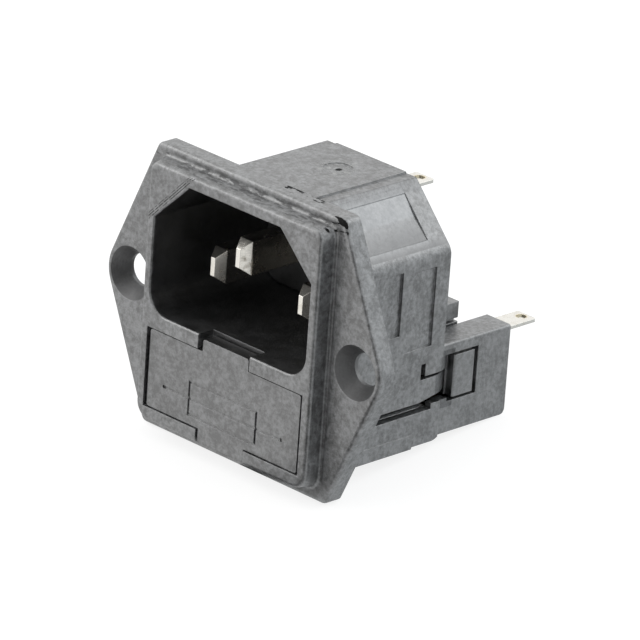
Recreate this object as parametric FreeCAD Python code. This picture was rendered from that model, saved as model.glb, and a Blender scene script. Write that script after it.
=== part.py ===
"""Panel-mounted C14 power inlet with a fuse drawer.

Frame: millimetres, +X to the right seen from the front, +Y into the panel, +Z up.
The origin lies midway between the two fixing holes, on the flange's rear face.
"""
import math
import os

import FreeCAD
import Part

# Flange and its fixing holes
FLANGE_HALF_H = 16.85
FLANGE_T = 2.4
FLANGE_END_HALF_W = 14.75
FLANGE_CORNER_R = 0.9
FLANGE_EDGE_R = 0.55
EAR_HALF_W = 22.25
EAR_R = 4.5
FIXING_X = 18.0
FIXING_R = 1.9
COUNTERSINK_R = 3.2
COUNTERSINK_DEPTH = 1.9

# Raised frame round the cavity and the drawer
FRAME_PROUD = 2.2
FRAME_HALF_W = 13.55
FRAME_TOP = 15.4
FRAME_BOTTOM = -15.15
FRAME_TOP_CORNER_R = 1.2
FRAME_BOTTOM_CORNER_R = 2.0
FRAME_EDGE_R = 0.5
FRAME_DRAFT = 0.3
FRAME_ROOT_R = 0.4
FRONT_Y = -(FLANGE_T + FRAME_PROUD)

# C14 cavity
CAVITY_HALF_W = 12.45
CAVITY_TOP = 14.05
CAVITY_TOP_HALF_W = 7.25
CAVITY_SHOULDER_Z = 9.1
CAVITY_FLOOR = -2.3
CAVITY_FLOOR_R = 2.8
CAVITY_FLOOR_T = 1.55
CAVITY_DRAFT = 0.35
CAVITY_SHOULDER_SLOPE = math.pi / 4
LEAD_IN = 0.15

# Body behind the flange
BODY_REAR_Y = 16.55
BODY_HALF_W = 13.3
BODY_TOP = 15.35
BODY_TOP_HALF_W = 7.1
BODY_SHOULDER_Z = 8.75
BODY_SHOULDER_R = 1.8
BODY_BOTTOM = -14.2
BODY_CORNER_R = 0.3
BODY_TOP_EDGE_R = 0.35
TOP_PLATE_HALF_W = 5.5
TOP_PLATE_T = 0.17
PAD_REAR_Y = 12.3
PAD_TOP = -12.5
PAD_T = 0.15
HEEL_FRONT_Y = 15.6
GATE_X = 0.3
GATE_Y = 11.0
GATE_R = 1.7
GATE_DEPTH = 0.07

# Shallow steps in the body's sides: (front y, rear y, bottom z, top z)
SIDE_STEPS = [(4.6, 9.2, 0.05, 7.6), (9.6, 14.45, -2.25, 7.2)]
SIDE_STEP_DEPTH = 0.27
SHOULDER_PANEL_REAR_Y = 13.85
SHOULDER_PANEL_FROM = 0.155
SHOULDER_PANEL_TO = 0.8
SHOULDER_PANEL_DEPTH = 0.17
SHOULDER_PANEL_EDGE_DEPTH = 0.05

# Fuse compartment
BLOCK_REAR_Y = 27.4
BLOCK_HALF_W = 13.15
BLOCK_BOTTOM = -13.75
BLOCK_TOP_EDGE_R = 0.3
BLOCK_HEEL_R = 0.9
RAIL_TOP = -2.8
RAIL_INNER_X = 9.4
BAY_HALF_W = 12.4
BAY_REAR_Y = 16.0
WELL_HALF_W = 12.1
WELL_FLOOR = -12.85
WELL_CEILING = CAVITY_FLOOR - CAVITY_FLOOR_T
WELL_REAR_Y = 26.2
REAR_WALL_TOP = -5.6

# Openings in each side wall of the fuse compartment
WINDOW_Y = (16.4, 22.35)
WINDOW_Z = (-9.4, -4.1)
WINDOW_SILL_Y = 17.75
WINDOW_SILL_Z = -9.84
FINGER_Y = 14.4
FINGER_Z = (-8.9, -6.15)
FINGER_BEND_Y = 14.7
FINGER_TIP = (12.15, 18.0)
FINGER_LIFT_Y = (13.0, 15.3)
FINGER_LIFT = 0.4
WALL_END_Y = 15.5
WALL_END_BEND_Y = 15.8
WALL_END_TIP = (12.3, 18.2)
CURVED_TIP_T = 0.65
HOOK_SLOT_Y = (13.1, 13.8)
HOOK_SLOT_TOP = -4.25
HOOK_SLOT_BOTTOM = -5.8
LONG_SLOT_FRONT_Y = 0.8
LONG_SLOT_REAR_Y = 15.1
LONG_SLOT_BOTTOM = -10.05

# Blades
BLADE_X = 7.0
BLADE_Z = 3.9
EARTH_Z = 7.9
BLADE_W = 2.0
BLADE_H = 4.0
BLADE_REAR_Y = 16.0
BLADE_TIP_Y = -0.35
EARTH_TIP_Y = -3.5
BLADE_INSERT_L = 0.5
POINT_L = 1.25
POINT_FLAT_H = 2.2
POINT_FLAT_W = 0.65
POINT_BLEND_R = 0.3
TAIL_W = 1.2
TAIL_H = 2.4
TAIL_REAR_Y = 17.75

# Contact carrier
CARRIER_FRONT_Y = 13.0
CARRIER_REAR_Y = BODY_REAR_Y + 0.05
CARRIER_INSET = CAVITY_DRAFT + 0.05
STEP_HALF_W = 9.2
STEP_REAR_Y = 22.8
STEP_TOP = -0.2
STEP_BOTTOM = -6.2
UNDERCUT_Z = (-2.6, -2.15)
UNDERCUT_DEPTH = 0.6
DECK_BOTTOM = -6.8
DECK_TOP = -5.6
DECK_REAR_Y = 26.1
DECK_LAP = 0.6
ARM_X = (11.1, 12.0)
ARM_Y = (18.4, 24.4)
ARM_LAP = 0.2
WEB_Y = 23.2
LUG_X = 13.15
LUG_Y = (18.6, 21.75)
LUG_Z = (-9.5, -4.45)
LUG_LEAD = 0.15
FIT = 0.03

# Sheet-metal terminals
SHEET = 0.4
TAG_W = 2.9
TAG_HOLE_R = 0.6
TAG_END = 0.95
TAG_CORNER = 0.2
TAG_SLOT_CLEARANCE = 0.1
TERMINAL_Y = CARRIER_REAR_Y + 0.05
EARTH_TAG_Z = 11.2
NEUTRAL_TAG_Z = 6.2
UPPER_TAG_HOLE_Y = 24.6
LEG_MARGIN = 0.6
LINK_RUN_Z = (-6.0, -4.2)
LINK_END_X = 10.03
LINK_END_REAR_Y = 20.8
OUTPUT_TAG_X = 9.5
OUTPUT_TAG_Z = -4.5
OUTPUT_TAG_HOLE_Y = 33.0
OUTPUT_TAG_FRONT_Y = STEP_REAR_Y + 0.2
OUTPUT_NECK_INNER_X = 9.35

# Springs that press on the fuse ends
SPRING_T = 0.3
SPRING_Y = (18.2, 20.8)
SPRING_X = 10.45
SPRING_TOUCH_X = 10.06
SPRING_BOTTOM = -11.2
SPRING_BEND_DROP = 0.6
SPRING_BEND_R = 0.8
SPRING_INNER_BEND_R = 0.5
SPRING_TOUCH_R = 1.1
SPRING_FOOT_SET = 0.1

# Fuses, 5 x 20 mm
FUSE_HALF_L = 10.0
FUSE_R = 2.6
FUSE_CAP_L = 5.2
FUSE_CAP_T = 0.22
TUBE_R = 2.36
TUBE_BORE_R = 1.8
TUBE_HALF_L = 9.55
WIRE_R = 0.15
FUSE_Z = -9.1
ACTIVE_FUSE_Y = 19.3
SPARE_FUSE_Y = 6.0

# Fuse drawer
DRAWER_RECESS = 0.2
DRAWER_HALF_W = 12.05
DRAWER_TOP = -4.2
DRAWER_BOTTOM = -13.5
DRAWER_FRONT_T = 1.8
DRAWER_CORNER_R = 0.3
TAB_HALF_W = 3.65
TAB_TOP = -2.75
TAB_BOTTOM = -15.05
MOUTH_HALF_W = 12.45
MOUTH_TOP = -4.0
MOUTH_BOTTOM = -13.6
NOTCH_X = (-4.3, 3.95)
NOTCH_DEPTH = 2.3
TAB_GAP = 0.2
TRAY_HALF_W = 12.05
TRAY_WALL_T = 0.6
TRAY_WALL_TOP = -10.1
TRAY_REAR_Y = 15.4
TRAY_BOTTOM = -12.6
TRAY_FLOOR_T = 0.85
TRAY_LAP = 0.1
CRADLE_HALF_W = 9.5
CRADLE_REAR_Y = 22.6
SADDLE_X = (5.6, 8.6)
SADDLE_TOP = -9.1
SADDLE_HALF_L = 3.1
TRAY_RIB_Y = (9.4, 10.3)
TRAY_RIB_TOP = -10.4

# Fuse symbol cut into the drawer's front
SYMBOL_HALF_W = 5.35
SYMBOL_HALF_H = 1.95
SYMBOL_Z = -10.4
SYMBOL_LINE_HALF_L = 9.4
SYMBOL_DOT_R = 0.22
ENGRAVE_W = 0.3
ENGRAVE_DEPTH = 0.25
ENGRAVE_SHALLOW = 0.12

# How far a cutter reaches past the face it cuts, how far shapes that meet overlap,
# and when two points count as one
OVER = 1.0
LAP = 0.01
TOLERANCE = 1e-6
RIGHT = 1
LEFT = -1


def box(x, y, z):
    """Block between two limits on each axis."""
    low = FreeCAD.Vector(min(x), min(y), min(z))
    size = [abs(limits[1] - limits[0]) for limits in (x, y, z)]
    return Part.makeBox(*size, low)


def on_side(side, shape):
    """The right-hand shape itself, or its mirror image on the left."""
    if side == RIGHT:
        return shape
    return shape.mirror(FreeCAD.Vector(0, 0, 0), FreeCAD.Vector(1, 0, 0))


def on_both_sides(shape):
    """A right-hand shape together with its mirror image."""
    return [shape, on_side(LEFT, shape)]


def joined(shapes):
    """One solid from shapes that meet."""
    return shapes[0].multiFuse(shapes[1:]).removeSplitter()


def corner_arc(before, here, after, radius):
    """Start, middle and end of the arc that rounds one corner."""
    back = (before - here).normalize()
    ahead = (after - here).normalize()
    half_angle = back.getAngle(ahead) / 2
    reach = radius / math.tan(half_angle)
    middle = radius / math.sin(half_angle) - radius
    bisector = (back + ahead).normalize()
    return here + back * reach, here + bisector * middle, here + ahead * reach


def outline(corners, place):
    """Closed wire through (a, b, radius) corners; place puts each (a, b) in space."""
    flat = [FreeCAD.Vector(a, b, 0) for a, b, _ in corners]
    count = len(corners)
    arcs = []
    for i, (_, _, radius) in enumerate(corners):
        after = flat[(i + 1) % count]
        arcs.append(corner_arc(flat[i - 1], flat[i], after, radius) if radius else [flat[i]])
    edges = []
    for i, arc in enumerate(arcs):
        points = [place(p.x, p.y) for p in arc]
        if len(points) > 1:
            edges.append(Part.Arc(*points).toShape())
        following = arcs[(i + 1) % count][0]
        if (following - arc[-1]).Length > TOLERANCE:
            edges.append(Part.makeLine(points[-1], place(following.x, following.y)))
    return Part.Wire(edges)


def section_wire(corners, y):
    """Outline of (x, z, radius) corners across the body at one depth."""
    return outline(corners, lambda a, b: FreeCAD.Vector(a, y, b))


def prism_along_y(corners, y):
    """Solid with an (x, z) section between two depths."""
    face = Part.Face(section_wire(corners, y[0]))
    return face.extrude(FreeCAD.Vector(0, y[1] - y[0], 0))


def prism_along_z(corners, z):
    """Solid with an (x, y) section between two heights."""
    face = Part.Face(outline(corners, lambda a, b: FreeCAD.Vector(a, b, z[0])))
    return face.extrude(FreeCAD.Vector(0, 0, z[1] - z[0]))


def prism_along_x(corners, x):
    """Solid with a (y, z) section between two widths."""
    face = Part.Face(outline(corners, lambda a, b: FreeCAD.Vector(x[0], a, b)))
    return face.extrude(FreeCAD.Vector(x[1] - x[0], 0, 0))


def taper_along_y(front_corners, rear_corners, y):
    """Solid that changes evenly from one (x, z) section to another."""
    wires = [section_wire(front_corners, y[0]), section_wire(rear_corners, y[1])]
    return Part.makeLoft(wires, True, True)


def symmetric(right_corners):
    """Whole outline from its right-hand corners, listed from top to bottom."""
    left_corners = [(-x, z, radius) for x, z, radius in reversed(right_corners)]
    return right_corners + left_corners


def rounded_at(solid, y, radius):
    """The solid with its outline rounded at one depth."""
    edges = [e for e in solid.Edges if all(abs(v.Y - y) < TOLERANCE for v in e.Vertexes)]
    return solid.makeFillet(radius, edges)


def cylinder_y(x, z, y, radius):
    """Round bar along Y."""
    return Part.makeCylinder(radius, y[1] - y[0], FreeCAD.Vector(x, y[0], z), FreeCAD.Vector(0, 1, 0))


def cylinder_x(x, y, z, radius):
    """Round bar along X."""
    return Part.makeCylinder(radius, x[1] - x[0], FreeCAD.Vector(x[0], y, z), FreeCAD.Vector(1, 0, 0))


def cavity_section(inset):
    """C14 outline with two cut top corners, moved inwards by inset."""
    shoulder_shift = inset * math.tan(CAVITY_SHOULDER_SLOPE / 2)
    return symmetric([
        (CAVITY_TOP_HALF_W - shoulder_shift, CAVITY_TOP - inset, 0),
        (CAVITY_HALF_W - inset, CAVITY_SHOULDER_Z - shoulder_shift, 0),
        (CAVITY_HALF_W - inset, CAVITY_FLOOR + inset, CAVITY_FLOOR_R - inset),
    ])


def frame_section(spread):
    """Outline of the raised frame, moved outwards by spread."""
    return symmetric([
        (FRAME_HALF_W + spread, FRAME_TOP + spread, FRAME_TOP_CORNER_R),
        (FRAME_HALF_W + spread, FRAME_BOTTOM - spread, FRAME_BOTTOM_CORNER_R),
    ])


def flange():
    """Six-sided mounting plate with a rounded ear at each side."""
    plate = prism_along_y(symmetric([
        (FLANGE_END_HALF_W, FLANGE_HALF_H, FLANGE_CORNER_R),
        (EAR_HALF_W, 0, EAR_R),
        (FLANGE_END_HALF_W, -FLANGE_HALF_H, FLANGE_CORNER_R),
    ]), (-FLANGE_T, 0))
    return rounded_at(plate, -FLANGE_T, FLANGE_EDGE_R)


def raised_frame():
    """Rim that stands proud of the flange, with drafted sides."""
    rim = taper_along_y(frame_section(0), frame_section(FRAME_DRAFT), (FRONT_Y, -FLANGE_T))
    return rounded_at(rim, FRONT_Y, FRAME_EDGE_R)


def framed_flange():
    """Flange and frame in one, with a small fillet in the corner between them."""
    solid = flange().fuse(raised_frame()).removeSplitter()
    reach_x = FRAME_HALF_W + FRAME_DRAFT + TOLERANCE
    reach_z = FRAME_TOP + FRAME_DRAFT + TOLERANCE
    root = [
        edge for edge in solid.Edges
        if all(
            abs(v.Y + FLANGE_T) < TOLERANCE and abs(v.X) < reach_x and abs(v.Z) < reach_z
            for v in edge.Vertexes
        )
    ]
    return solid.makeFillet(FRAME_ROOT_R, root)


def body_shell():
    """Outside of the body behind the flange: C14 top, flat base."""
    section = symmetric([
        (BODY_TOP_HALF_W, BODY_TOP, BODY_TOP_EDGE_R),
        (BODY_HALF_W, BODY_SHOULDER_Z, BODY_SHOULDER_R),
        (BODY_HALF_W, BODY_BOTTOM, BODY_CORNER_R),
    ])
    shell = prism_along_y(section, (-FLANGE_T / 2, BODY_REAR_Y))
    top_plate = box(
        (-TOP_PLATE_HALF_W, TOP_PLATE_HALF_W),
        (-FLANGE_T / 2, BODY_REAR_Y),
        (BODY_TOP - OVER, BODY_TOP + TOP_PLATE_T),
    )
    pad = prism_along_y(symmetric([
        (BODY_HALF_W + PAD_T, PAD_TOP, 0),
        (BODY_HALF_W + PAD_T, BODY_BOTTOM - PAD_T, BODY_CORNER_R),
    ]), (-FLANGE_T / 2, PAD_REAR_Y))
    return [shell, top_plate, pad]


def fuse_block():
    """Outside of the fuse compartment's rear part, with a rounded heel."""
    front_y = BODY_REAR_Y - OVER
    across = prism_along_y(symmetric([
        (BLOCK_HALF_W, RAIL_TOP, BLOCK_TOP_EDGE_R),
        (BLOCK_HALF_W, BLOCK_BOTTOM, BODY_CORNER_R),
    ]), (front_y, BLOCK_REAR_Y))
    along = prism_along_x([
        (front_y, RAIL_TOP, 0),
        (BLOCK_REAR_Y, RAIL_TOP, 0),
        (BLOCK_REAR_Y, BLOCK_BOTTOM, BLOCK_HEEL_R),
        (front_y, BLOCK_BOTTOM, 0),
    ], (-BLOCK_HALF_W, BLOCK_HALF_W))
    return across.common(along)


def side_steps():
    """Wedge-shaped steps in the right side, deepest at their rear edge."""
    cutters = []
    for front_y, rear_y, bottom, top in SIDE_STEPS:
        wedge = prism_along_z([
            (BODY_HALF_W + OVER, front_y, 0),
            (BODY_HALF_W, front_y, 0),
            (BODY_HALF_W - SIDE_STEP_DEPTH, rear_y, 0),
            (BODY_HALF_W + OVER, rear_y, 0),
        ], (bottom, top))
        cutters.append(wedge)
    return cutters


def shoulder_panel():
    """Smooth panel sunk into the right shoulder, deepest across its middle."""
    top = FreeCAD.Vector(BODY_TOP_HALF_W, 0, BODY_TOP)
    down = FreeCAD.Vector(BODY_HALF_W, 0, BODY_SHOULDER_Z) - top
    inward = FreeCAD.Vector(down.z, 0, -down.x).normalize()
    first = top + down * SHOULDER_PANEL_FROM
    last = top + down * SHOULDER_PANEL_TO
    middle = (first + last) / 2 + inward * SHOULDER_PANEL_DEPTH
    shallow = inward * SHOULDER_PANEL_EDGE_DEPTH
    points = [first - inward * OVER, last - inward * OVER, last + shallow, middle, first + shallow]
    corners = [(p.x, p.z, 0) for p in points]
    return prism_along_y(corners, (0, SHOULDER_PANEL_REAR_Y))


def finger_lift(wall):
    """Cut that raises the spring finger's lower edge towards its tip."""
    low = FINGER_Z[0]
    high = low + FINGER_LIFT
    far_y = FINGER_TIP[1] + OVER
    return prism_along_x([
        (FINGER_LIFT_Y[0], low, 0),
        (FINGER_LIFT_Y[1], high, 0),
        (far_y, high, 0),
        (far_y, low - FIT, 0),
        (FINGER_LIFT_Y[0], low - FIT, 0),
    ], wall)


def curve_in(wall_x, bend_y, tip_x, tip_y, z):
    """Arc that leaves a wall's face along the wall and ends at the tip."""
    start = FreeCAD.Vector(wall_x, bend_y, z)
    tip = FreeCAD.Vector(tip_x, tip_y, z)
    turn = math.atan2(wall_x - tip_x, tip_y - bend_y)
    bulge = (tip - start).Length / 2 * math.tan(turn / 2)
    outward = FreeCAD.Vector(math.cos(turn), math.sin(turn), 0)
    middle = (start + tip) * 0.5 + outward * bulge
    return Part.Arc(start, middle, tip).toShape()


def curved_end(root_y, bend_y, tip, z):
    """End of the right wall, curved in like the leg of a clip."""
    tip_x, tip_y = tip
    outer = curve_in(BODY_HALF_W, bend_y, tip_x, tip_y, z[0])
    inner = curve_in(BAY_HALF_W, bend_y, tip_x - CURVED_TIP_T, tip_y, z[0])
    outer_start = outer.firstVertex().Point
    inner_start = inner.firstVertex().Point
    outer_root = FreeCAD.Vector(BODY_HALF_W, root_y, z[0])
    inner_root = FreeCAD.Vector(BAY_HALF_W, root_y, z[0])
    edges = [
        Part.makeLine(outer_root, outer_start),
        outer,
        Part.makeLine(outer.lastVertex().Point, inner.lastVertex().Point),
        inner,
        Part.makeLine(inner_start, inner_root),
        Part.makeLine(inner_root, outer_root),
    ]
    wire = Part.Wire(Part.sortEdges(edges)[0])
    return Part.Face(wire).extrude(FreeCAD.Vector(0, 0, z[1] - z[0]))


def side_openings():
    """Window and slots that free the spring finger in the right wall."""
    wall = (WELL_HALF_W - CURVED_TIP_T, BODY_HALF_W + OVER)
    past_window = WINDOW_Y[0] + OVER
    window = box(wall, WINDOW_Y, WINDOW_Z)
    sill = box(wall, (WINDOW_SILL_Y, WINDOW_Y[1]), (WINDOW_SILL_Z, WINDOW_Z[0] + OVER))
    hook_leg = box(wall, HOOK_SLOT_Y, (FINGER_Z[1], HOOK_SLOT_TOP))
    hook_foot = box(wall, (HOOK_SLOT_Y[0], past_window), (FINGER_Z[1], HOOK_SLOT_BOTTOM))
    long_slot = box(wall, (LONG_SLOT_FRONT_Y, LONG_SLOT_REAR_Y), (LONG_SLOT_BOTTOM, FINGER_Z[0]))
    thin_slot = box(wall, (LONG_SLOT_REAR_Y - OVER, past_window), (WINDOW_Z[0], FINGER_Z[0]))
    finger_room = box(wall, (FINGER_Y, past_window), FINGER_Z)
    wall_end_room = box(wall, (WALL_END_Y, past_window), (HOOK_SLOT_BOTTOM, WINDOW_Z[1]))
    slots = [hook_leg, hook_foot, long_slot, thin_slot]
    return [window, sill, *slots, finger_room, wall_end_room, finger_lift(wall)]


def wall_ends():
    """Spring finger and the wall above it, both curved in at the window."""
    finger = curved_end(FINGER_Y, FINGER_BEND_Y, FINGER_TIP, FINGER_Z)
    finger = finger.cut(finger_lift((FINGER_TIP[0] - OVER, BODY_HALF_W + OVER)))
    upper_z = (HOOK_SLOT_BOTTOM, WINDOW_Z[1])
    return [finger, curved_end(WALL_END_Y, WALL_END_BEND_Y, WALL_END_TIP, upper_z)]


def fixing_hole(side):
    """Through hole with a countersink in one ear."""
    x = side * FIXING_X
    bore = cylinder_y(x, 0, (-FLANGE_T - OVER, OVER), FIXING_R)
    cone = Part.makeCone(
        COUNTERSINK_R, FIXING_R, COUNTERSINK_DEPTH,
        FreeCAD.Vector(x, -FLANGE_T, 0), FreeCAD.Vector(0, 1, 0),
    )
    return bore.fuse(cone)


def drawer_bay():
    """Space that the fuse drawer slides in, with the notches for its tabs."""
    mouth = box(
        (-MOUTH_HALF_W, MOUTH_HALF_W),
        (FRONT_Y - OVER, FRONT_Y + NOTCH_DEPTH),
        (MOUTH_BOTTOM, MOUTH_TOP),
    )
    bay_front_y = FRONT_Y + NOTCH_DEPTH - FIT
    bay = box((-BAY_HALF_W, BAY_HALF_W), (bay_front_y, BAY_REAR_Y), (WELL_FLOOR, WELL_CEILING))
    well = box((-WELL_HALF_W, WELL_HALF_W), (bay_front_y, WELL_REAR_Y), (WELL_FLOOR, WELL_CEILING))
    top_notch = box(
        NOTCH_X,
        (FRONT_Y - OVER, FRONT_Y + NOTCH_DEPTH),
        (MOUTH_TOP - OVER, CAVITY_FLOOR + OVER / 2),
    )
    bottom_notch = box(
        (-TAB_HALF_W - TAB_GAP, TAB_HALF_W + TAB_GAP),
        (FRONT_Y - OVER, -FLANGE_T),
        (FRAME_BOTTOM - OVER, MOUTH_BOTTOM + OVER),
    )
    return [mouth, bay, well, top_notch, bottom_notch]


def rear_openings():
    """Gap between the two rails, and the slot that the output tag leaves by."""
    between_rails = box(
        (-RAIL_INNER_X, RAIL_INNER_X),
        (BODY_REAR_Y, BLOCK_REAR_Y + OVER),
        (REAR_WALL_TOP, RAIL_TOP + OVER),
    )
    half_w = TAG_W / 2 + TAG_SLOT_CLEARANCE
    half_h = SHEET / 2 + TAG_SLOT_CLEARANCE
    tag_slot = box(
        (OUTPUT_TAG_X - half_w, OUTPUT_TAG_X + half_w),
        (WELL_REAR_Y - OVER, BLOCK_REAR_Y + OVER),
        (OUTPUT_TAG_Z - half_h, OUTPUT_TAG_Z + half_h),
    )
    return [between_rails, tag_slot]


def heel():
    """Sloping cut where the body's base meets the shallower fuse compartment."""
    width = (-BODY_HALF_W - OVER, BODY_HALF_W + OVER)
    return prism_along_x([
        (HEEL_FRONT_Y, BODY_BOTTOM, 0),
        (BODY_REAR_Y + FIT, BLOCK_BOTTOM, 0),
        (BODY_REAR_Y + FIT, BODY_BOTTOM - OVER, 0),
        (HEEL_FRONT_Y, BODY_BOTTOM - OVER, 0),
    ], width)


def gate_mark():
    """Shallow round moulding mark in the top plate."""
    base = FreeCAD.Vector(GATE_X, GATE_Y, BODY_TOP + TOP_PLATE_T - GATE_DEPTH)
    return Part.makeCylinder(GATE_R, OVER, base)


def main_housing():
    """One moulding: flange, frame, cavity walls, stepped body and fuse compartment."""
    solid = joined([framed_flange(), *body_shell(), fuse_block()])
    cavity_y = (FRONT_Y, BODY_REAR_Y + LAP)
    cavity = taper_along_y(cavity_section(0), cavity_section(CAVITY_DRAFT), cavity_y)
    lead_in_y = (FRONT_Y - LAP, FRONT_Y + LEAD_IN)
    lead_in = taper_along_y(cavity_section(-LEAD_IN), cavity_section(0), lead_in_y)
    cutters = [cavity, lead_in, fixing_hole(LEFT), fixing_hole(RIGHT)]
    cutters += drawer_bay() + rear_openings() + [heel(), gate_mark()]
    for right_cutter in [*side_steps(), shoulder_panel(), *side_openings()]:
        cutters += on_both_sides(right_cutter)
    solid = solid.cut(cutters)
    ends = []
    for right_end in wall_ends():
        ends += on_both_sides(right_end)
    return joined([solid, *ends])


def blade_body(x, z, tip_y, rear_y, grow=0.0):
    """Rectangular blade with a four-sided point; grow thickens it for cutting its slot."""
    half_w = BLADE_W / 2 + grow
    half_h = BLADE_H / 2 + grow
    side_view = prism_along_x([
        (tip_y, z - POINT_FLAT_H / 2, 0),
        (tip_y + POINT_L, z - half_h, POINT_BLEND_R),
        (rear_y, z - half_h, 0),
        (rear_y, z + half_h, 0),
        (tip_y + POINT_L, z + half_h, POINT_BLEND_R),
        (tip_y, z + POINT_FLAT_H / 2, 0),
    ], (x - half_w, x + half_w))
    top_view = prism_along_z([
        (x - POINT_FLAT_W / 2, tip_y, 0),
        (x + POINT_FLAT_W / 2, tip_y, 0),
        (x + half_w, tip_y + POINT_L, POINT_BLEND_R),
        (x + half_w, rear_y, 0),
        (x - half_w, rear_y, 0),
        (x - half_w, tip_y + POINT_L, POINT_BLEND_R),
    ], (z - half_h, z + half_h))
    return side_view.common(top_view)


def tail_body(x, z, y, grow=0.0):
    """Narrow end of a blade, which its terminal is riveted to."""
    half_w = TAIL_W / 2 + grow
    half_h = TAIL_H / 2 + grow
    return box((x - half_w, x + half_w), y, (z - half_h, z + half_h))


def blade(x, z, tip_y):
    """Plug blade with its riveting tail."""
    tail = tail_body(x, z, (BLADE_REAR_Y - BLADE_INSERT_L, TAIL_REAR_Y))
    return joined([blade_body(x, z, tip_y, BLADE_REAR_Y), tail])


def blade_slot(x, z):
    """Space for one blade in the carrier."""
    wide = blade_body(x, z, CARRIER_FRONT_Y - 2 * OVER, BLADE_REAR_Y + FIT, FIT)
    return wide.fuse(tail_body(x, z, (BLADE_REAR_Y - OVER, CARRIER_REAR_Y + OVER), FIT))


def snap_arm():
    """Right-hand arm whose lug fills the housing's side window."""
    lug_root_x = ARM_X[0] + ARM_LAP
    web = box((STEP_HALF_W - ARM_LAP, ARM_X[1]), (WEB_Y, ARM_Y[1]), (LUG_Z[0], DECK_TOP))
    arm = box(ARM_X, ARM_Y, LUG_Z)
    lug = prism_along_z([
        (lug_root_x, LUG_Y[0], 0),
        (LUG_X - LUG_LEAD, LUG_Y[0], 0),
        (LUG_X, LUG_Y[0] + LUG_LEAD, 0),
        (LUG_X, LUG_Y[1], 0),
        (lug_root_x, LUG_Y[1], 0),
    ], LUG_Z)
    return [web, arm, lug]


def contact_carrier():
    """Moulded insert that closes the cavity's rear and holds every contact."""
    plate = prism_along_y(cavity_section(CARRIER_INSET), (CARRIER_FRONT_Y, CARRIER_REAR_Y))
    step_x = (-STEP_HALF_W, STEP_HALF_W)
    step = box(step_x, (CARRIER_REAR_Y - LAP, STEP_REAR_Y), (STEP_BOTTOM, STEP_TOP))
    deck = box(step_x, (STEP_REAR_Y - DECK_LAP, DECK_REAR_Y), (DECK_BOTTOM, DECK_TOP))
    parts = [plate, step, deck]
    for shape in snap_arm():
        parts += on_both_sides(shape)
    solid = joined(parts)
    link_room_y = (TERMINAL_Y - FIT, TERMINAL_Y + SHEET + FIT)
    half_leg = TAG_W / 2 + FIT
    leg_x = (BLADE_X - half_leg, BLADE_X + half_leg)
    leg_room = box(leg_x, link_room_y, (STEP_BOTTOM - OVER, STEP_TOP + OVER))
    run_room = box(
        (-STEP_HALF_W - OVER, BLADE_X + half_leg),
        link_room_y,
        (STEP_BOTTOM - OVER, LINK_RUN_Z[1] + FIT),
    )
    behind_floor = box(
        (-STEP_HALF_W - OVER, STEP_HALF_W + OVER),
        (CARRIER_REAR_Y - OVER, CARRIER_REAR_Y),
        (STEP_BOTTOM - OVER, CAVITY_FLOOR + CARRIER_INSET),
    )
    undercut = box(
        (STEP_HALF_W - UNDERCUT_DEPTH, STEP_HALF_W + OVER),
        (CARRIER_REAR_Y + UNDERCUT_DEPTH, STEP_REAR_Y + OVER),
        UNDERCUT_Z,
    )
    cutters = [leg_room, run_room, behind_floor, *on_both_sides(undercut)]
    cutters += [blade_slot(x, z) for x, z, _ in blades().values()]
    return solid.cut(cutters).removeSplitter()


def blades():
    """Place of each blade: x, z and tip y."""
    return {
        "live_pin": (BLADE_X, BLADE_Z, BLADE_TIP_Y),
        "neutral_pin": (-BLADE_X, BLADE_Z, BLADE_TIP_Y),
        "earth_pin": (0.0, EARTH_Z, EARTH_TIP_Y),
    }


def tag(x, z, y_start, hole_y):
    """Flat solder tag with cut corners and a wire hole."""
    end_y = hole_y + TAG_END
    half_w = TAG_W / 2
    plate = prism_along_z([
        (x - half_w, y_start, 0),
        (x + half_w, y_start, 0),
        (x + half_w, end_y - TAG_CORNER, 0),
        (x + half_w - TAG_CORNER, end_y, 0),
        (x - half_w + TAG_CORNER, end_y, 0),
        (x - half_w, end_y - TAG_CORNER, 0),
    ], (z - SHEET / 2, z + SHEET / 2))
    hole = Part.makeCylinder(TAG_HOLE_R, 2 * SHEET, FreeCAD.Vector(x, hole_y, z - SHEET))
    return plate.cut(hole)


def stepped_terminal(x, blade_z, tag_z):
    """Terminal whose leg is riveted to a blade and whose tag stands out behind."""
    half_w = TAG_W / 2
    leg = box(
        (x - half_w, x + half_w),
        (TERMINAL_Y, TERMINAL_Y + SHEET),
        (blade_z - TAIL_H / 2 - LEG_MARGIN, tag_z + SHEET / 2),
    )
    solid = joined([leg, tag(x, tag_z, TERMINAL_Y, UPPER_TAG_HOLE_Y)])
    return solid.cut(tail_body(x, blade_z, (TERMINAL_Y - OVER, TERMINAL_Y + OVER), FIT))


def live_link():
    """Strip from the live blade down and across to the left fuse contact."""
    half_w = TAG_W / 2
    plane = (TERMINAL_Y, TERMINAL_Y + SHEET)
    leg_top = BLADE_Z + TAIL_H / 2 + LEG_MARGIN
    leg = box((BLADE_X - half_w, BLADE_X + half_w), plane, (LINK_RUN_Z[0], leg_top))
    run = box((-LINK_END_X - SHEET, BLADE_X + half_w), plane, LINK_RUN_Z)
    end = box((-LINK_END_X - SHEET, -LINK_END_X), (TERMINAL_Y, LINK_END_REAR_Y), LINK_RUN_Z)
    solid = joined([leg, run, end])
    return solid.cut(tail_body(BLADE_X, BLADE_Z, (TERMINAL_Y - OVER, TERMINAL_Y + OVER), FIT))


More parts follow.
